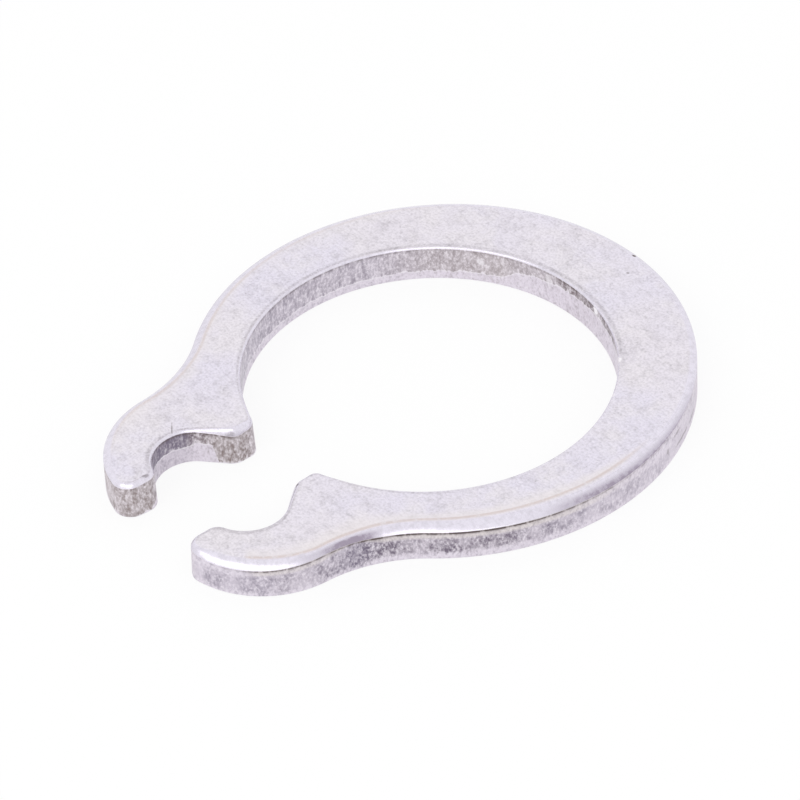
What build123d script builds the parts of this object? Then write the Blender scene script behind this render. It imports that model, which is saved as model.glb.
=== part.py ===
from build123d import *
from math import sin, cos, tan, sqrt, radians
import os

# External retaining ring, blanked from flat spring steel.
# Origin: on the bore axis, at the flat underside. +Z along the bore. The gap faces -Y.

# ring
stock = 1.0            # sheet thickness
bore_r = 4.65          # free inner radius, for a 10 mm shaft
back_width = 2.04      # ring width opposite the gap
front_width = 1.18     # ring width the rim circle would leave at the gap

# lugs
gap = 2.38             # clear width between the two lugs
lug_r = 2.49           # round of the lug's outside
lug_out = 0.02         # lug round's centre, out past the gap's side
lug_reach = 3.82       # how far the lugs stand out past the bore
neck_r = 3.85          # hollow round where the rim runs into the lug
tip_r = 0.42           # round of the outer tip
tip_over = 0.03        # how far the tip's round would pass the lug's round

# plier notches
notch_r = 0.99         # round seat for the plier tip
notch_in = 0.09        # seat's centre, short of the gap's side
notch_out = 1.80       # seat's centre, out past the bore
flare_out = 22.0       # mouth flank on the tip side, degrees off square
flare_in = 47.0        # mouth flank on the bore side
mouth_tip_r = 0.36     # round of the mouth's corner on the tip side
mouth_bore_r = 0.34    # round of the mouth's corner on the bore side
heel_r = 0.28          # round where the gap meets the bore

# edges left by the blanking
rim_roll = 0.15        # rolled upper edge round the outside
bore_roll = 0.07       # upper edge of the bore, the gap and the notches
edge_break = 0.03      # lower edges, tumbled

# derived
rim_r = bore_r + (back_width + front_width) / 2
rim_shift = (back_width - front_width) / 2
lug_x = gap / 2 + lug_out
lug_y = -(bore_r + lug_reach - lug_r)
notch_x = gap / 2 - notch_in
notch_y = -(bore_r + notch_out)
tip_x = gap / 2 + tip_r
tip_y = lug_y - sqrt((lug_r - tip_r + tip_over) ** 2 - (tip_x - lug_x) ** 2)
clear = lug_reach + bore_r + 2.0

# the heel's round takes no more of the gap's side than the mouth's round leaves
in_angle = radians(flare_in)
mouth_y = notch_y + notch_r * cos(in_angle) + (notch_x + notch_r * sin(in_angle) - gap / 2) * tan(in_angle)
mouth_end = mouth_y + mouth_bore_r * tan((radians(90) - in_angle) / 2)
heel_room = (mouth_end**2 / (bore_r - gap / 2) - bore_r - gap / 2) / 2
heel = min(heel_r, 0.9 * heel_room)


def flank(side, angle):
    """A mouth flank's two ends: where it leaves the round seat, and where it meets the mirror plane."""
    a = radians(angle)
    run = (notch_x + notch_r * sin(a)) / cos(a)
    return (
        (notch_x + notch_r * sin(a), notch_y + side * notch_r * cos(a)),
        (0, notch_y + side * (notch_r * cos(a) + run * sin(a))),
    )


with BuildPart() as circlip:
    # the outside, rolled over all round
    with BuildSketch():
        with Locations((0, rim_shift)):
            Circle(rim_r)
        with Locations((lug_x, lug_y), (-lug_x, lug_y)):
            Circle(lug_r)
        with Locations((0, lug_y - lug_r / 2)):
            Rectangle(2 * lug_x, lug_r)
        necks = vertices().filter_by(lambda v: lug_y + 0.2 < v.Y < rim_shift - 0.2 and abs(v.X) > gap)
        fillet(necks, neck_r)
    extrude(amount=stock)
    fillet(faces().sort_by(Axis.Z)[-1].edges(), rim_roll)
    fillet(faces().sort_by(Axis.Z)[0].edges(), edge_break)

    # a plate holding the bore, the gap and the notches, which have a smaller roll
    with BuildPart(mode=Mode.PRIVATE) as plate:
        with BuildSketch():
            Rectangle(2 * clear, 2 * clear)
            with BuildSketch(mode=Mode.PRIVATE) as opening:
                Circle(bore_r)
                with Locations((0, -clear)):
                    Rectangle(gap, clear, align=(Align.CENTER, Align.MIN))
                # one notch, its flared mouth and the rounded tip beside it
                with Locations((notch_x, notch_y)):
                    Circle(notch_r)
                with BuildLine():
                    Polyline(*flank(-1, flare_out), *reversed(flank(1, flare_in)), close=True)
                make_face()
                with Locations((0, -clear)):
                    Rectangle(tip_x, clear + tip_y, align=(Align.MIN, Align.MIN))
                with Locations((tip_x, tip_y)):
                    Circle(tip_r, mode=Mode.SUBTRACT)
                split(bisect_by=Plane.YZ, keep=Keep.TOP)
                mirror(about=Plane.YZ)
                on_side = lambda v: abs(abs(v.X) - gap / 2) < 1e-4
                for low, high, size in (
                    (tip_y + 0.1, notch_y, mouth_tip_r),
                    (notch_y, -bore_r, mouth_bore_r),
                    (-bore_r, 0, heel),
                ):
                    fillet(vertices().filter_by(lambda v: on_side(v) and low < v.Y < high), size)
            add(opening.sketch, mode=Mode.SUBTRACT)
        extrude(amount=stock)
        inside = faces().sort_by(Axis.Z)[-1].edges().filter_by(
            lambda e: max(abs(e.center().X), abs(e.center().Y)) < clear - 0.01
        )
        fillet(inside, bore_roll)
    add(plate.part, mode=Mode.INTERSECT)

os.makedirs("parts", exist_ok=True)
circlip.part.label = "circlip"
export_step(circlip.part, "parts/circlip.step")
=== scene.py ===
import math

import bmesh
import bpy
import numpy as np
from mathutils import Matrix, Vector


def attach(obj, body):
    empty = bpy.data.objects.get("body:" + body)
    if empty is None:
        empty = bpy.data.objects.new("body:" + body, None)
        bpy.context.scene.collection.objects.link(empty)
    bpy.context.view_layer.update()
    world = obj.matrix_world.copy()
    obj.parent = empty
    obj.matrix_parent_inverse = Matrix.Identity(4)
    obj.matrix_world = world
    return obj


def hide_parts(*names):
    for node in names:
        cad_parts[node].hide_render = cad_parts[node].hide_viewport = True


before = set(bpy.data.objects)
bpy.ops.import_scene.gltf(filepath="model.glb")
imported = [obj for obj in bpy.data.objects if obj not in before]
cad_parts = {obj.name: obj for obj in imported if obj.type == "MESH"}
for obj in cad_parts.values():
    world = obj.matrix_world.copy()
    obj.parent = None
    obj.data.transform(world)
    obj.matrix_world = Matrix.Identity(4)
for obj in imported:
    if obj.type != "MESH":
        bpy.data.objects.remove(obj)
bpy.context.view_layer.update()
mm = 0.001
print("frame loaded: " + ", ".join(sorted(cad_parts)))


# ---- shader helper: a socket that can be added, multiplied and compared in plain expressions


class Wire:
    def __init__(self, finish, socket):
        self.finish, self.socket = finish, socket

    def mathWith(self, operation, first, second=None):
        values = {0: first} if second is None else {0: first, 1: second}
        return self.finish.node("ShaderNodeMath", {"operation": operation}, values)

    def __add__(self, other):
        return self.mathWith("ADD", self, other)

    def __radd__(self, other):
        return self.mathWith("ADD", other, self)

    def __sub__(self, other):
        return self.mathWith("SUBTRACT", self, other)

    def __rsub__(self, other):
        return self.mathWith("SUBTRACT", other, self)

    def __mul__(self, other):
        return self.mathWith("MULTIPLY", self, other)

    def __rmul__(self, other):
        return self.mathWith("MULTIPLY", other, self)


class Finish:
    def __init__(self, name="", world=None):
        self.material = world or bpy.data.materials.new(name)
        self.material.use_nodes = True
        self.tree = self.material.node_tree
        self.tree.nodes.clear()

    # one node: its type, its settings (set first), the values or links of its sockets
    def node(self, kind, settings=None, sockets=None, out=0):
        made = self.tree.nodes.new(kind)
        for key, value in (settings or {}).items():
            setattr(made, key, value)
        for key, value in (sockets or {}).items():
            if isinstance(value, Wire):
                self.tree.links.new(value.socket, made.inputs[key])
            else:
                made.inputs[key].default_value = value
        return Wire(self, made.outputs[out]) if len(made.outputs) else None

    def noise(self, place, scale, detail=2.0, rough=0.5, stretch=(1, 1, 1), shift=(0, 0, 0)):
        spot = self.node(
            "ShaderNodeMapping", {}, {"Vector": place, "Scale": [scale * s for s in stretch], "Location": shift}
        )
        sockets = {"Vector": spot, "Scale": 1.0, "Detail": detail, "Roughness": rough}
        return self.node("ShaderNodeTexNoise", {}, sockets)

    # 0 below low, 1 above high, smooth between
    def step(self, value, low, high):
        return self.node(
            "ShaderNodeMapRange",
            {"interpolation_type": "SMOOTHSTEP"},
            {"Value": value, "From Min": low, "From Max": high, "To Min": 0.0, "To Max": 1.0},
        )

    # first colour where the amount is 0, second where it is 1
    def blend(self, amount, first, second):
        return self.node("ShaderNodeMix", {"data_type": "RGBA"}, {0: amount, 6: first, 7: second}, out=2)

    def close(self, surface):
        self.node("ShaderNodeOutputMaterial", {}, {"Surface": surface})
        return self.material


# ---- the ring's outline, in mm: the same sizes as the solid has

ring = {
    "stock": 1.0,
    "boreR": 4.65,
    "rimR": 6.26,
    "rimShift": 0.43,
    "neckR": 3.85,
    "lugR": 2.49,
    "lugAt": (1.21, -5.98),
    "gap": 2.38,
    "tipR": 0.42,
    "notchR": 0.99,
    "notchAt": (1.10, -6.45),
    "flareOut": 22.0,
    "flareIn": 47.0,
    "mouthTipR": 0.36,
    "mouthBoreR": 0.34,
    "heelR": 0.28,
    "footBreak": 0.03,
    "pitch": 0.05,  # distance between stations
    "seed": 11,
    "rollRows": 10,  # rows of the mesh down the roll, the wall and the foot's round
    "wallRows": 22,
    "footRows": 3,
    "rollEnd": 0.008,  # first row under the roll, a share of the wall's height: keeps the corner crisp
    "acrossTop": 13,  # faces across the top and the underside
    "acrossFoot": 7,
    "rollWander": 0.05,  # how much the rim's roll changes in width, a share of it
    "settle": 0.8,  # length at each tip over which that dies away
    "ragged": 0.012,  # how much the bore's dark band wanders in height
}


# circular run: centre + radius * (cos a, sin a), with the normal out of the metal
def arcRun(centre, radius, start, end, convex, pitch=0.004):
    count = max(6, int(abs(radius * (end - start)) / pitch) + 2)
    a = np.linspace(start, end, count)
    away = np.stack([np.cos(a), np.sin(a)], 1)
    return np.asarray(centre) + radius * away, away * (1.0 if convex else -1.0)


# straight run from one point to another
def lineRun(first, last, normal, pitch=0.004):
    length = float(np.hypot(*(np.asarray(last) - np.asarray(first))))
    count = max(4, int(length / pitch) + 2)
    return np.linspace(first, last, count), np.tile(normal, (count, 1))


def angleOf(v):
    return math.atan2(v[1], v[0])


def angleBefore(value, limit):
    while value > limit:
        value -= 2 * math.pi
    return value


# right half of the outline, from the back round the outside, the lug, the notch and the bore to the back again
def halfOutline(r):
    rimAt, lugAt, notchAt = np.array([0.0, r["rimShift"]]), np.array(r["lugAt"]), np.array(r["notchAt"])
    side = r["gap"] / 2
    runs = {}

    # hollow neck round, tangent to the rim and to the lug
    toLug = lugAt - rimAt
    apart = float(np.hypot(*toLug))
    toLug = toLug / apart
    a = r["rimR"] + r["neckR"]
    b = r["lugR"] + r["neckR"]
    along = (a * a - b * b + apart * apart) / (2 * apart)
    neckAt = rimAt + along * toLug + math.sqrt(a * a - along * along) * np.array([-toLug[1], toLug[0]])
    rimEnd = angleOf(neckAt - rimAt)
    lugStart = angleOf(neckAt - lugAt)
    runs["rim"] = arcRun(rimAt, r["rimR"], math.pi / 2, rimEnd, True)
    turn = angleOf(lugAt - neckAt)
    start = angleOf(rimAt - neckAt)
    turn = start + (turn - start + math.pi) % (2 * math.pi) - math.pi
    runs["neck"] = arcRun(neckAt, r["neckR"], start, turn, False)

    # lug round and the tip's small round
    tipX = side + r["tipR"]
    reach = r["lugR"] - r["tipR"]
    tipAt = np.array([tipX, lugAt[1] - math.sqrt(reach * reach - (tipX - lugAt[0]) ** 2)])
    lugEnd = angleBefore(angleOf(tipAt - lugAt), lugStart)
    runs["lug"] = arcRun(lugAt, r["lugR"], lugStart, lugEnd, True)
    runs["tip"] = arcRun(tipAt, r["tipR"], lugEnd, angleBefore(-math.pi, lugEnd), True)

    # notch: straight flanks tangent to the round seat, with rounded mouth corners
    def flank(degrees, way):
        t = math.radians(degrees)
        into = np.array([math.sin(t), way * math.cos(t)])
        return into, notchAt + r["notchR"] * into

    def mouth(into, touch, size):
        x = side + size
        y = touch[1] + (size - (x - touch[0]) * into[0]) / into[1]
        return np.array([x, y])

    outInto, outTouch = flank(r["flareOut"], -1)
    inInto, inTouch = flank(r["flareIn"], 1)
    outMouth, inMouth = mouth(outInto, outTouch, r["mouthTipR"]), mouth(inInto, inTouch, r["mouthBoreR"])
    left = np.array([-1.0, 0.0])
    runs["tipSide"] = lineRun((side, tipAt[1]), (side, outMouth[1]), left)
    back = angleOf(-outInto)
    runs["mouthTip"] = arcRun(outMouth, r["mouthTipR"], math.pi, back, True)
    runs["flankOut"] = lineRun(outMouth - r["mouthTipR"] * outInto, outTouch, -outInto)
    runs["seat"] = arcRun(notchAt, r["notchR"], angleOf(outInto), angleOf(inInto), False)
    runs["flankIn"] = lineRun(inTouch, inMouth - r["mouthBoreR"] * inInto, -inInto)
    runs["mouthBore"] = arcRun(inMouth, r["mouthBoreR"], angleOf(-inInto) % (2 * math.pi), math.pi, True)
    heelX = side + r["heelR"]
    heelAt = np.array([heelX, -math.sqrt((r["boreR"] + r["heelR"]) ** 2 - heelX**2)])
    runs["boreSide"] = lineRun((side, inMouth[1]), (side, heelAt[1]), left)
    runs["heel"] = arcRun(heelAt, r["heelR"], math.pi, angleOf(-heelAt), True)
    runs["bore"] = arcRun((0, 0), r["boreR"], angleOf(heelAt), math.pi / 2, False)
    return runs


# joins runs into one dense path with its arc length, and the length at which each run ends
def joinRuns(runs, names, backwards=False):
    points = np.vstack([runs[n][0] for n in names])
    normals = np.vstack([runs[n][1] for n in names])
    if backwards:
        points, normals = points[::-1], normals[::-1]
        names = names[::-1]
    gone = np.concatenate([[0], np.cumsum(np.linalg.norm(np.diff(points, axis=0), axis=1))])
    ends, at = {}, 0
    for n in names:
        at += len(runs[n][0])
        ends[n] = float(gone[at - 1])
    return points, normals, gone, ends


# value of a path's points and normals at given lengths
def alongPath(path, s):
    points, normals, gone, _ = path
    p = np.stack([np.interp(s, gone, points[:, k]) for k in (0, 1)], 1)
    n = np.stack([np.interp(s, gone, normals[:, k]) for k in (0, 1)], 1)
    return p, n / np.linalg.norm(n, axis=1)[:, None]


# pairs the outside with the inside, station by station, from the back to the tip
def pairStations(r):
    runs = halfOutline(r)
    tipPoints, tipNormals = runs["tip"]
    half = len(tipPoints) // 2
    runs["tipOut"] = (tipPoints[: half + 1], tipNormals[: half + 1])
    runs["tipIn"] = (tipPoints[half:], tipNormals[half:])
    outside = joinRuns(runs, ["rim", "neck", "lug", "tipOut"])
    inside = joinRuns(
        runs,
        ["tipIn", "tipSide", "mouthTip", "flankOut", "seat", "flankIn", "mouthBore", "boreSide", "heel", "bore"],
        backwards=True,
    )
    o, i = outside[3], inside[3]
    neckLength, lugLength = o["neck"] - o["rim"], o["lug"] - o["neck"]
    anchors = [
        (0.0, 0.0),
        (o["rim"] - 1.2, i["bore"] - 2.6),
        (o["rim"] + 0.45 * neckLength, i["bore"]),
        (o["rim"] + 0.70 * neckLength, i["heel"]),
        (o["neck"], i["mouthBore"]),
        (o["neck"] + 0.12 * lugLength, i["flankIn"]),
        (o["neck"] + 0.45 * lugLength, (i["flankIn"] + i["seat"]) / 2),
        (o["neck"] + 0.74 * lugLength, i["seat"]),
        (o["neck"] + 0.86 * lugLength, (i["flankOut"] + i["mouthTip"]) / 2),
        (o["lug"], i["tipSide"] - 0.15),
        (outside[2][-1], inside[2][-1]),
    ]
    sOut, sIn = [], []
    for (a, b), (c, d) in zip(anchors[:-1], anchors[1:]):
        count = max(2, int(math.ceil(max(c - a, d - b) / r["pitch"])))
        f = np.arange(count) / count
        sOut.append(a + (c - a) * f)
        sIn.append(b + (d - b) * f)
    sOut = np.concatenate(sOut + [[anchors[-1][0]]])
    sIn = np.concatenate(sIn + [[anchors[-1][1]]])
    return outside, inside, sOut, sIn


# smooth wandering value along a length: a sum of sines with seeded phases
def wander(s, seed, shortest, longest, terms=24):
    rng = np.random.default_rng(seed)
    waves = np.exp(rng.uniform(math.log(1 / longest), math.log(1 / shortest), terms)) * 2 * math.pi
    phases = rng.uniform(0, 2 * math.pi, terms)
    weights = 1.0 / np.sqrt(waves)
    total = (weights * np.sin(s[..., None] * waves + phases)).sum(-1)
    return total / math.sqrt(0.5 * (weights**2).sum())


outside, inside, sOut, sIn = pairStations(ring)
print("outline: %d stations a side" % len(sOut))


# ---- the ring as one closed skin: each station is a loop over the top, down the outside, under and up the inside


# die roll from flat to a corner: inset falls evenly while the drop grows as its square
def dieRoll(count):
    u = np.append(np.linspace(0, 0.95, count), 1.0)
    return 1 - u, u * u


# broken foot edge, quarter round from upright to flat: inset grows as 1 - cos, height falls as 1 - sin
def footRound(count):
    a = np.linspace(0, math.pi / 2, count + 1)
    return 1 - np.cos(a), 1 - np.sin(a)


# one wall's rows, from the roll's start to the foot: inset from the outline, and height.
# The wall leans out evenly from the roll to the foot.
def wallRows(r, rollIn, rollDown, lean):
    inset, drop = dieRoll(r["rollRows"])
    stock, foot = r["stock"], r["footBreak"]
    upright = np.append(r["rollEnd"], np.linspace(0, 1, r["wallRows"] + 1)[1:-1])[None, :]
    high = stock - rollDown[:, None]
    footInset, footHigh = footRound(r["footRows"])
    lean = lean[:, None]
    insets = np.hstack([rollIn[:, None] * inset, -lean * upright, foot * footInset - lean])
    heights = np.hstack(
        [stock - rollDown[:, None] * drop, high + (foot - high) * upright, foot * footHigh + 0 * high]
    )
    return insets, heights


# How the blanking left each edge, with the shade and the dark reflection painted on it, at runs in mm from the
# back (left of the back is negative): roll in and down, painted shade in the crease under the roll, smear over
# the roll, strength of the dark band (own tone and painted dark reflection) and its brown, and the band's lower
# and upper heights. Values between the rows are interpolated.
storyKeys = ("rollIn", "rollDown", "creaseShade", "smear", "darkToneAndReflection", "brown", "bandLow", "bandTop")


def edgeStory(o, i):
    rim = [
        (-o["lug"] - 0.35, 0.13, 0.11, 0.2, 0.0, 0.62, 1.0, 0.04, 1.20),
        (-o["lug"] + 0.60, 0.18, 0.14, 0.2, 0.0, 0.58, 0.9, 0.08, 1.00),
        (-o["lug"] + 1.00, 0.24, 0.15, 0.3, 0.0, 0.45, 0.2, 0.20, 0.66),
        (-o["neck"], 0.20, 0.10, 0.4, 0.1, 0.55, 0.0, 0.22, 0.62),
        (-o["rim"] + 0.5, 0.26, 0.12, 0.4, 0.1, 0.60, 0.0, 0.25, 0.62),
        (-8.5, 0.26, 0.11, 0.35, 0.2, 0.40, 0.1, 0.25, 0.60),
        (0.0, 0.20, 0.08, 0.2, 0.1, 0.30, 0.1, 0.25, 0.62),
        (5.0, 0.26, 0.09, 0.1, 0.0, 0.20, 0.0, 0.15, 0.55),
        (7.4, 0.34, 0.11, 0.25, 0.8, 0.30, 0.0, 0.10, 0.50),
        (9.2, 0.38, 0.14, 0.45, 1.1, 0.48, 0.0, 0.15, 0.66),
        (10.6, 0.40, 0.16, 0.7, 0.7, 0.58, 0.0, 0.20, 0.62),
        (11.6, 0.40, 0.17, 0.8, 0.1, 0.75, 0.1, 0.22, 0.64),
        (12.6, 0.38, 0.17, 1.3, 0.0, 0.90, 0.2, 0.24, 0.64),
        (15.5, 0.30, 0.16, 1.3, 0.1, 0.95, 0.2, 0.20, 0.66),
        (16.2, 0.25, 0.12, 0.8, 1.6, 0.95, 0.0, 0.12, 0.88),
        (o["neck"] + 0.1, 0.22, 0.12, 0.7, 0.4, 0.70, 0.1, 0.12, 0.70),
        (o["neck"] + 1.1, 0.28, 0.17, 0.7, 0.0, 0.60, 0.1, 0.12, 0.66),
        (o["neck"] + 1.6, 0.30, 0.18, 0.8, 0.0, 0.60, 0.0, 0.12, 0.66),
        (o["neck"] + 2.2, 0.30, 0.18, 0.2, 0.0, 0.45, 0.0, 0.12, 0.62),
        (o["lug"] - 0.35, 0.28, 0.18, 0.1, 0.0, 0.70, 0.0, 0.12, 0.66),
        (o["lug"] - 0.05, 0.20, 0.15, 0.1, 0.1, 0.30, 0.0, 0.12, 0.66),
        (o["lug"] + 0.35, 0.13, 0.11, 0.1, 0.1, 0.25, 0.2, 0.12, 0.66),
    ]
    # notch and gap, the same on both lugs: the corners are rolled hardest and torn almost to the top
    lugSide = [
        (i["bore"] - 0.4, 0.06, 0.05, 0.2, 0.0, 0.40, 0.1, 0.24, 1.20),
        (i["bore"], 0.09, 0.10, 0.2, 0.0, 0.40, 0.5, 0.12, 1.20),
        (i["heel"], 0.14, 0.17, 0.3, 0.0, 0.66, 0.9, 0.03, 1.20),
        (i["boreSide"], 0.16, 0.20, 0.3, 0.0, 0.68, 1.0, 0.03, 1.20),
        (i["mouthBore"], 0.16, 0.18, 0.4, 0.0, 0.70, 1.0, 0.03, 1.20),
        (i["mouthBore"] + 0.32, 0.12, 0.12, 0.5, 0.0, 0.68, 1.0, 0.05, 1.20),
        (i["mouthBore"] + 0.44, 0.10, 0.10, 0.5, 0.0, 0.70, 0.9, 0.56, 1.20),
        (i["flankIn"] + 0.05, 0.07, 0.06, 0.6, 0.0, 0.85, 0.6, 0.58, 1.20),
        (i["flankIn"] + 0.35, 0.06, 0.05, 0.7, 0.0, 1.20, 0.1, 0.49, 1.20),
        (i["seat"] - 0.5, 0.06, 0.05, 0.7, 0.0, 1.20, 0.0, 0.50, 1.20),
        (i["flankOut"], 0.08, 0.07, 0.5, 0.0, 0.90, 0.3, 0.42, 1.20),
        (i["mouthTip"], 0.12, 0.10, 0.3, 0.0, 0.68, 1.0, 0.06, 1.20),
        (i["tipIn"], 0.13, 0.11, 0.2, 0.0, 0.62, 1.0, 0.04, 1.20),
    ]
    bore = [
        (-12.4, 0.05, 0.04, 0.2, 0.0, 0.50, 0.0, 0.30, 1.20),
        (-10.4, 0.05, 0.04, 0.3, 0.0, 0.58, 0.0, 0.28, 1.20),
        (-8.4, 0.04, 0.04, 0.5, 0.0, 0.60, 0.05, 0.24, 1.20),
        (-5.6, 0.04, 0.04, 0.4, 0.0, 0.55, 0.15, 0.25, 1.20),
        (-4.2, 0.04, 0.04, 0.2, 0.0, 0.55, 0.7, 0.26, 1.20),
        (-2.3, 0.04, 0.04, 0.2, 0.0, 0.48, 0.9, 0.28, 1.20),
        (-1.9, 0.04, 0.04, 0.3, 0.0, 0.48, 0.7, 0.55, 1.20),
        (-1.0, 0.04, 0.04, 0.4, 0.0, 0.60, 0.6, 0.66, 1.20),
        (0.0, 0.04, 0.04, 0.6, 0.0, 0.95, 0.7, 0.72, 1.20),
        (1.9, 0.04, 0.04, 0.5, 0.0, 0.90, 0.5, 0.76, 1.20),
        (3.2, 0.04, 0.035, 0.2, 0.0, 0.40, 0.3, 0.76, 1.20),
        (4.5, 0.04, 0.03, 0.1, 0.0, 0.25, 0.2, 0.60, 1.20),
        (9.0, 0.04, 0.03, 0.1, 0.0, 0.40, 0.1, 0.36, 1.20),
        (12.4, 0.05, 0.04, 0.2, 0.0, 0.50, 0.0, 0.30, 1.20),
    ]
    bore = [(-row[0],) + row[1:] for row in reversed(lugSide)] + bore + lugSide
    return {"outside": np.array(rim), "inside": np.array(bore)}


# how far the foot is torn out past the upper outline, at the corners of the gap and at the tips
def footLean(o, i, runOut, runIn):
    places = [i["bore"] - 0.3, i["heel"], i["mouthBore"], i["flankIn"], i["flankOut"], i["mouthTip"], i["tipIn"]]
    atGap = np.interp(np.abs(runIn), places, [0, 0.07, 0.08, 0.01, 0.01, 0.06, 0.025])
    atRim = np.interp(np.abs(runOut), [o["lug"] - 0.1, o["lug"], o["tipOut"]], [0, 0.005, 0.025])
    return atRim, atGap


def ringSkin(r):
    print("ring: carrying the section along the outline")
    pOut, nOut = alongPath(outside, sOut)
    pIn, nIn = alongPath(inside, sIn)
    # the left half is the right half mirrored, walked from tip to back
    mirrored = np.array([-1.0, 1.0])
    pOut, nOut = (np.vstack([v[::-1] * mirrored, v[1:]]) for v in (pOut, nOut))
    pIn, nIn = (np.vstack([v[::-1] * mirrored, v[1:]]) for v in (pIn, nIn))
    runOut = np.concatenate([-sOut[::-1], sOut[1:]])
    runIn = np.concatenate([-sIn[::-1], sIn[1:]])

    story = edgeStory(outside[3], inside[3])

    def told(which, key, run):
        return np.interp(run, story[which][:, 0], story[which][:, 1 + storyKeys.index(key)])

    # the roll wanders a little along the rim, and settles where it meets the gap's roll at the tips
    settle = np.clip((np.abs(runOut).max() - np.abs(runOut)) / r["settle"], 0, 1)
    change = r["rollWander"] * settle * wander(runOut, r["seed"], 2.0, 12.0)
    rollIn = told("outside", "rollIn", runOut) * (1 + change)
    rollDown = told("outside", "rollDown", runOut)
    innerIn = told("inside", "rollIn", runIn)
    innerDown = told("inside", "rollDown", runIn)
    leanOut, leanIn = footLean(outside[3], inside[3], runOut, runIn)
    outInset, outHeight = wallRows(r, rollIn, rollDown, leanOut)
    inInset, inHeight = wallRows(r, innerIn, innerDown, leanIn)

    def place(points, normals, insets, heights):
        xy = points[:, None, :] - normals[:, None, :] * insets[:, :, None]
        return np.concatenate([xy, heights[:, :, None]], 2)

    outer = place(pOut, nOut, outInset, outHeight)
    inner = place(pIn, nIn, inInset, inHeight)
    f = np.linspace(0, 1, r["acrossTop"] + 1)[1:-1][None, :]
    g = np.linspace(0, 1, r["acrossFoot"] + 1)[1:-1][None, :]
    top = inner[:, :1] * (1 - f[..., None]) + outer[:, :1] * f[..., None]
    foot = outer[:, -1:] * (1 - g[..., None]) + inner[:, -1:] * g[..., None]
    loops = np.concatenate([top, outer, foot, inner[:, ::-1]], 1)

    # what the finish needs at each point; over the flat faces a value passes from one wall's to the other's
    def spread(outValue, inValue):
        outValue, inValue = outValue[:, None], inValue[:, None]
        wide = (outValue * np.ones(outer.shape[1]), inValue * np.ones(inner.shape[1]))
        return np.hstack([inValue * (1 - f) + outValue * f, wide[0], outValue * (1 - g) + inValue * g, wide[1]])

    # distance in from the rim and from the bore, in the plane; 1 where the finish doesn't ask for it
    width = np.linalg.norm(top[:, 0] - top[:, -1], axis=1)[:, None]
    fromRim = np.hstack([rollIn[:, None] + width * (1 - f), outInset, 1 + 0 * foot[..., 0], 1 + 0 * inInset])
    fromBore = np.hstack([innerIn[:, None] + width * f, 1 + 0 * outInset, 1 + 0 * foot[..., 0], inInset[:, ::-1]])

    values = {"onRim": spread(1 + 0 * runOut, 0 * runIn), "fromRim": fromRim, "fromBore": fromBore}
    for key in storyKeys:
        values[key] = spread(told("outside", key, runOut), told("inside", key, runIn))
    ragged = r["ragged"] * wander(runIn, r["seed"] + 4, 0.25, 2.5)
    values["bandLow"] = spread(told("outside", "bandLow", runOut), told("inside", "bandLow", runIn) + ragged)
    return loops, values


def makeSkin(name, loops, values):
    stations, around = loops.shape[:2]
    index = np.arange(stations * around).reshape(stations, around)
    a, b = index[:-1], index[1:]
    faces = np.stack([a, np.roll(a, -1, 1), np.roll(b, -1, 1), b], 2).reshape(-1, 4)
    mesh = bpy.data.meshes.new(name)
    co = (loops.reshape(-1, 3) * mm).astype(np.float32)
    mesh.vertices.add(len(co))
    mesh.vertices.foreach_set("co", co.ravel())
    mesh.loops.add(faces.size)
    mesh.loops.foreach_set("vertex_index", faces.ravel().astype(np.int32))
    mesh.polygons.add(len(faces))
    mesh.polygons.foreach_set("loop_start", (np.arange(len(faces)) * 4).astype(np.int32))
    mesh.update(calc_edges=True)
    for key, field in values.items():
        mesh.attributes.new(key, "FLOAT", "POINT").data.foreach_set("value", field.reshape(-1).astype(np.float32))
    work = bmesh.new()
    work.from_mesh(mesh)
    bmesh.ops.remove_doubles(work, verts=work.verts, dist=1e-8)  # closes the skin at the two tips
    bmesh.ops.recalc_face_normals(work, faces=work.faces)
    openEdges = sum(1 for e in work.edges if not e.is_manifold)
    work.to_mesh(mesh)
    work.free()
    mesh.polygons.foreach_set("use_smooth", np.ones(len(mesh.polygons), bool))
    mesh.update()
    made = bpy.data.objects.new(name, mesh)
    bpy.context.scene.collection.objects.link(made)
    print("%s: %d faces, %d open edges" % (name, len(mesh.polygons), openEdges))
    return made


loops, values = ringSkin(ring)
skin = makeSkin("circlipSteel", loops, values)
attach(skin, "root")
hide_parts("circlip")

# ---- finishes

steelLook = {
    "face": (0.835, 0.795, 0.860, 1),  # flat faces, tumbled pale grey
    "faceCool": (0.815, 0.780, 0.878, 1),
    "faceWarm": (0.850, 0.812, 0.850, 1),
    "faceTan": (0.850, 0.800, 0.800, 1),  # beside the roll
    "fleck": (0.33, 0.30, 0.33, 1),  # specks and scratches on the flat faces
    # pale colour for light grain, chips and a light line, and for the painted glints on the walls
    "paleAndGlint": (0.93, 0.90, 0.94, 1),
    "roll": (0.800, 0.765, 0.860, 1),  # rolled edge, burnished
    "rollStart": (0.60, 0.48, 0.43, 1),  # faint tan line where the roll begins
    "torn": (0.79, 0.735, 0.815, 1),  # broken lower band of the walls
    "smooth": (0.75, 0.695, 0.700, 1),  # lighter band under the rim's roll
    # dark band colours: the walls' own mottled tone, and a painted dark reflection on the bore and notches
    "dark": (0.200, 0.170, 0.240, 1),  # dark band, cool
    "darkBrown": (0.215, 0.165, 0.155, 1),  # dark band, brown
    # painted shade: the thin dark line in the crease under the roll; dents take this colour too
    "creaseShade": (0.13, 0.10, 0.10, 1),  # thin dark line under the roll
    "smear": (0.36, 0.31, 0.39, 1),
    "metal": 0.75,
    "faceRough": 0.50,
    "rollRough": 0.25,
    "wallRougher": 0.27,  # torn walls, above the roll's roughness
    "bump": 0.5,
    "bumpHigh": 0.000016,
}

# noises of the finish, in waves a metre
waves = {
    "grain": 15000,
    "mottle": 6500,
    "smudge": 2600,
    "cloud": 800,
    "tint": 330,
    "streak": 11000,
    "pits": 11000,
    "speckle": 15000,
    "blotch": 5200,
    "patch": 1900,
    "drag": 13000,
}

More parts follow.
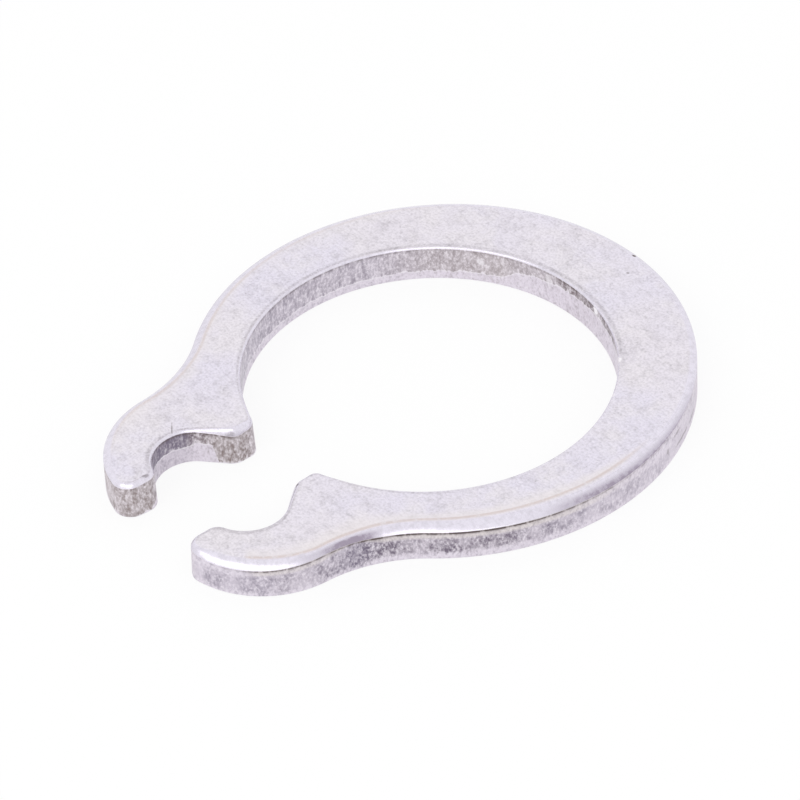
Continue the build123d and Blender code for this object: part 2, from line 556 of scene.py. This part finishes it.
# small marks, in mm: middle x, y, z, half length, half width, half height, turn in degrees, strength
darkMarks = [
    (-2.27, -6.20, 1.0, 0.30, 0.018, 0.3, -36, 0.6),
    (-1.30, -7.72, 1.0, 0.10, 0.05, 0.3, 70, 0.5),
    (-1.30, -5.20, 1.0, 0.22, 0.05, 0.3, 55, 0.4),
    (1.36, -5.15, 1.0, 0.07, 0.06, 0.3, 80, 0.8),
    (0.0, 6.60, 0.98, 0.08, 0.07, 0.2, 0, 2.0),
    (0.45, 6.02, 1.0, 0.05, 0.035, 0.2, 30, 0.6),
    (4.97, 4.23, 0.23, 0.34, 0.20, 0.08, -53, 0.35),
    (5.62, 3.20, 0.66, 0.26, 0.20, 0.06, -63, 0.40),
    (5.82, 2.75, 0.45, 0.07, 0.20, 0.14, -67, 0.35),
    (5.45, 3.51, 0.26, 0.55, 0.20, 0.06, -60, 0.40),
]
brightMarks = [
    (2.87, 3.66, 0.95, 0.13, 0.12, 0.13, -38, 1.4),
    (3.80, 2.70, 0.95, 0.10, 0.10, 0.10, -54, 1.0),
    (0.94, 4.555, 0.88, 0.13, 0.14, 0.17, -12, 2.0),
    (-0.90, 4.56, 0.72, 0.14, 0.14, 0.26, 11, 0.4),
    (-2.67, 3.80, 0.64, 0.13, 0.14, 0.12, 35, 0.55),
]


def steelFinish(look):
    f = Finish("springSteel")
    place = f.node("ShaderNodeTexCoord", out=3)
    facing = f.node("ShaderNodeSeparateXYZ", {}, {0: f.node("ShaderNodeTexCoord", out=1)}, out=2)
    height = f.node("ShaderNodeSeparateXYZ", {}, {0: place}, out=2) * 1000

    def stored(name):
        return f.node("ShaderNodeAttribute", {"attribute_name": name}, out=2)

    onRim, fromRim, fromBore = map(stored, ("onRim", "fromRim", "fromBore"))
    rollIn, rollDown, creaseShadeHere, smearHere, darkToneAndReflection, brown, bandLow, bandTop = map(stored, storyKeys)

    # a smooth bump of the given half width around 0
    def ridge(value, width):
        return 1 - f.step(f.node("ShaderNodeMath", {"operation": "ABSOLUTE"}, {0: value}), 0.0, width)

    grain = f.noise(place, waves["grain"], 3, 0.65)
    mottle = f.noise(place, waves["mottle"], 3, 0.6, shift=(3, 1, 7))
    cloud = f.noise(place, waves["cloud"], 3, 0.6, shift=(9, 2, 5))
    tint = f.noise(place, waves["tint"], 2, 0.5, shift=(2, 8, 1))
    streak = f.noise(place, waves["streak"], 3, 0.6, stretch=(0.12, 1, 1))
    pits = f.noise(place, waves["pits"], 2, 0.5, shift=(5, 5, 5))

    # a list of marks as one mask: soft-edged ellipsoids with broken edges
    def spots(marks):
        total = 0.0
        for x, y, z, length, width, tall, turn, strength in marks:
            around = f.node(
                "ShaderNodeMapping",
                {"vector_type": "TEXTURE"},
                {
                    "Vector": place,
                    "Location": (x * mm, y * mm, z * mm),
                    "Rotation": (0, 0, math.radians(turn)),
                    "Scale": (length * mm, width * mm, tall * mm),
                },
            )
            far = f.node("ShaderNodeVectorMath", {"operation": "LENGTH"}, {0: around}, out=1)
            total = total + (1 - f.step(far + (mottle - 0.5) * 1.6, 0.40, 1.05)) * strength
        return total

    dents, chips = spots(darkMarks), spots(brightMarks)

    # flat faces: pale skin with a fine mottle, faint rolling lines along X, specks and a few marks
    face = f.blend(f.step(tint, 0.38, 0.62), look["faceCool"], look["face"])
    face = f.blend(f.step(cloud, 0.42, 0.66) * 0.7, face, look["faceWarm"])
    smudge = f.noise(place, waves["smudge"], 3, 0.6, shift=(6, 2, 9))
    dim = f.step(smudge, 0.50, 0.28) * 0.16 + f.step(grain, 0.58, 0.32) * 0.22
    dim = dim + f.step(mottle, 0.54, 0.28) * 0.20 + f.step(streak, 0.54, 0.28) * 0.08
    specks = f.step(pits, 0.36, 0.24) * f.step(cloud, 0.62, 0.40)
    # the top face darker in a soft mottled band along the bore's edge, where the walls' dark band is strong
    boreEdgeDarker = ridge(fromBore - 0.10, 0.09) * f.step(darkToneAndReflection, 0.30, 0.60)
    boreEdgeDarker = boreEdgeDarker * (0.3 + f.step(mottle, 0.36, 0.60)) * 0.34
    face = f.blend(dim + specks * 0.35 + boreEdgeDarker, face, look["fleck"])
    face = f.blend(f.step(grain, 0.54, 0.70) * 0.40, face, look["paleAndGlint"])
    burnished = f.step(onRim * creaseShadeHere, 0.26, 0.48)  # where the rim was rolled hardest
    warm = ridge(fromRim - rollIn * 1.25, 0.45) * burnished
    face = f.blend(warm * 0.55, face, look["faceTan"])

    # the roll: smoother, a little cooler, starting at a faint tan line
    flecked = f.step(mottle, 0.60, 0.34) * 0.16 + f.step(grain, 0.60, 0.34) * 0.08
    roll = f.blend(flecked, look["roll"], look["fleck"])
    start = ridge(fromRim - rollIn * 0.95, 0.085) * burnished * f.step(mottle, 0.24, 0.52)
    top = 1 - rollDown
    smear = smearHere * f.step(facing, 0.96, 0.80) * (0.75 + 0.5 * f.step(mottle, 0.38, 0.62))

    # walls: a dark band, partly the steel's own mottled tone and partly a painted reflection of a dark surround
    # on the smooth sheared band, sharp below on the bore and notches, soft on the rim
    speckle = f.noise(place, waves["speckle"], 3, 0.7, stretch=(1, 1, 0.7), shift=(1, 4, 2))
    blotch = f.noise(place, waves["blotch"], 3, 0.65, stretch=(1, 1, 0.6), shift=(7, 3, 2))
    patch = f.noise(place, waves["patch"], 3, 0.6, stretch=(1, 1, 0.7), shift=(4, 9, 3))
    line = height - bandLow + (speckle - 0.5) * 0.07 + (blotch - 0.5) * 0.14
    soft = onRim * 0.09 + 0.014
    above = f.step(line, 0 - soft, soft)
    below = 1 - f.step(height + (blotch - 0.5) * 0.2, bandTop - 0.06, bandTop + 0.06)
    pattern = 0.20 + 0.55 * f.step(speckle, 0.38, 0.62) + 0.45 * f.step(blotch, 0.38, 0.64)
    patchy = 1 + onRim * (f.step(patch, 0.36, 0.64) * 0.55 - 0.40)
    drag = f.noise(place, waves["drag"], 2, 0.6, stretch=(1, 1, 0.16), shift=(8, 1, 3))
    pattern = pattern + (1 - onRim) * (1 - brown) * (f.step(drag, 0.36, 0.64) * 0.34 - 0.19)
    pattern = pattern + brown * (pattern - 0.68) * 0.25  # coarser where torn to the top
    # in the notches the painted dark reflection is made even
    notch = f.step(darkToneAndReflection, 0.85, 1.10) * (1 - onRim)
    pattern = pattern + notch * (0.72 - pattern) * 0.6  # evenly dark in the notches
    amount = above * below * darkToneAndReflection * pattern * patchy
    low = 0.30 * f.step(speckle, 0.46, 0.70) + 0.22 * f.step(blotch, 0.46, 0.70) + notch * 0.13
    amount = amount + (1 - above * below) * low
    overBand = f.step(onRim * creaseShadeHere, 0.3, 0.9) * f.step(height, bandTop - 0.05, bandTop + 0.05)
    pale = f.blend(overBand, look["torn"], look["smooth"])
    pale = f.blend(brown * above * 0.5, pale, look["smooth"])
    wall = f.blend(amount, pale, f.blend(brown, look["dark"], look["darkBrown"]))
    # painted glints: light specks over the walls
    wall = f.blend(f.step(speckle, 0.44, 0.30) * 0.45, wall, look["paleAndGlint"])
    bandFoot = ridge(line + 0.010, 0.034) * 0.6 * (1 - onRim) * f.step(mottle, 0.3, 0.5)
    wall = f.blend(bandFoot, wall, look["paleAndGlint"])  # a light line where the dark band ends
    # painted shade in the crease under the roll, broken up by the blotch noise; the same mask cuts a small groove
    # in the relief
    creaseShade = ridge(height - (top - 0.030), 0.042) + ridge(height - (top - 0.06), 0.06) * 0.35
    wall = f.blend(creaseShade * creaseShadeHere * (0.45 + 0.55 * f.step(blotch, 0.40, 0.55)), wall, look["creaseShade"])

    onWall = 1 - f.step(height, top - 0.012, top + 0.006)
    flat = f.step(facing, 0.955, 0.998)
    edge = f.blend(onWall, f.blend(smear, roll, look["smear"]), wall)
    upside = f.blend(start * 0.50, f.blend(flat, edge, face), look["rollStart"])
    under = f.step(facing, -0.5, -0.8)
    colour = f.blend(under, upside, face)  # the underside is the same flat skin
    # dents and nicks, in the dark colour of the painted crease shade
    colour = f.blend(dents, colour, look["creaseShade"])
    colour = f.blend(chips, colour, look["paleAndGlint"])

    faceRough = look["faceRough"] + 0.16 * (mottle - 0.5)
    edgeRough = look["rollRough"] + onWall * (look["wallRougher"] - above * (1 - onRim) * 0.10)
    flatAny = flat + under
    roughness = edgeRough + (faceRough - edgeRough) * flatAny

    # relief: fine grain on the faces, coarse tearing low on the walls
    relief = grain * 0.35 + mottle * 0.45 + streak * 0.25 - dents * 0.7
    tearing = speckle * 0.7 + blotch * 1.3 + above * 0.5 - creaseShade * creaseShadeHere * 0.6 - dents * 0.7
    raised = mottle * 0.12 + (tearing - mottle * 0.12) * onWall
    raised = raised + (relief - raised) * flatAny
    relievedBy = {"Strength": look["bump"], "Distance": look["bumpHigh"], "Height": raised}
    normal = f.node("ShaderNodeBump", {}, relievedBy)
    steel = f.node(
        "ShaderNodeBsdfPrincipled",
        {},
        {"Base Color": colour, "Metallic": look["metal"], "Roughness": roughness, "Normal": normal},
    )
    return f.close(steel)


skin.data.materials.append(steelFinish(steelLook))

# ---- stage, light and camera

# half width of the floor and its depth under the ring, in m; the share of shade shown; the sky's light
stageSizes = {"floor": 0.6, "drop": 0.00002, "shadeShown": 0.15, "skyLevel": 0.94, "matt": 0.95}


# 1 where the camera, a reflection or a refraction looks, 0 for light that falls on the ring
def lookedAt(f):
    path = f.node("ShaderNodeLightPath")
    names = ("Is Camera Ray", "Is Glossy Ray", "Is Transmission Ray")
    rays = [Wire(f, path.socket.node.outputs[n]) for n in names]
    either = f.node("ShaderNodeMath", {"operation": "MAXIMUM"}, {0: rays[0], 1: rays[1]})
    return f.node("ShaderNodeMath", {"operation": "MAXIMUM"}, {0: either, 1: rays[2]})


def floorFinish(look):
    f = Finish("paleFloor")
    matt = f.node("ShaderNodeBsdfDiffuse", {}, {"Color": (look["matt"],) * 3 + (1,)})
    plain = f.node("ShaderNodeEmission", {}, {"Color": (1, 1, 1, 1), "Strength": 1.0})
    mixed = f.node("ShaderNodeMixShader", {}, {0: lookedAt(f) * (1 - look["shadeShown"]), 1: matt, 2: plain})
    return f.close(mixed)


def makeFloor(look):
    size = look["floor"]
    corners = [(-size, -size), (size, -size), (size, size), (-size, size)]
    mesh = bpy.data.meshes.new("floor")
    mesh.from_pydata([(x, y, -look["drop"]) for x, y in corners], [], [(0, 1, 2, 3)])
    mesh.materials.append(floorFinish(look))
    floor = bpy.data.objects.new("floor", mesh)
    bpy.context.scene.collection.objects.link(floor)


def makeWorld(look):
    world = bpy.data.worlds.new("studio")
    f = Finish(world=world)
    strength = look["skyLevel"] + lookedAt(f) * (1 - look["skyLevel"])
    sky = f.node("ShaderNodeBackground", {}, {"Color": (1, 1, 1, 1), "Strength": strength})
    f.node("ShaderNodeOutputWorld", {}, {"Surface": sky})
    bpy.context.scene.world = world


# one low, wide soft box in front of the lugs; the sky does the rest
softBox = {"at": (0.101, -0.174, 0.195), "wide": 0.38, "tall": 0.14, "power": 0.16}


def makeSoftBox(look):
    lamp = bpy.data.lights.new("softBox", "AREA")
    lamp.shape = "RECTANGLE"
    lamp.size, lamp.size_y = look["wide"], look["tall"]
    lamp.energy = look["power"]
    made = bpy.data.objects.new("softBox", lamp)
    made.location = look["at"]
    made.rotation_euler = (-Vector(look["at"])).to_track_quat("-Z", "Y").to_euler()
    bpy.context.scene.collection.objects.link(made)


camera = {
    "azimuth": 53.55,
    "elevation": 40.25,
    "roll": -3.02,
    "distance": 0.141,
    "lens": 256.9,
    "aim": (-0.43 * mm, -0.62 * mm, -0.02 * mm),
}


def makeCamera(c):
    a, e, r = (math.radians(c[k]) for k in ("azimuth", "elevation", "roll"))
    back = Vector((math.sin(a) * math.cos(e), -math.cos(a) * math.cos(e), math.sin(e)))
    right = (-back).cross(Vector((0, 0, 1))).normalized()
    up = right.cross(-back)
    turnedRight = right * math.cos(r) + up * math.sin(r)
    turnedUp = up * math.cos(r) - right * math.sin(r)
    data = bpy.data.cameras.new("camera")
    data.sensor_width = 36
    data.lens = c["lens"]
    data.clip_start, data.clip_end = 0.005, 10
    made = bpy.data.objects.new("camera", data)
    turn = Matrix((turnedRight, turnedUp, back)).transposed().to_4x4()
    made.matrix_world = Matrix.Translation(Vector(c["aim"]) + back * c["distance"]) @ turn
    bpy.context.scene.collection.objects.link(made)
    bpy.context.scene.camera = made


print("stage, light and camera")
makeFloor(stageSizes)
makeWorld(stageSizes)
makeSoftBox(softBox)
makeCamera(camera)
bpy.context.scene.view_settings.view_transform = "Standard"
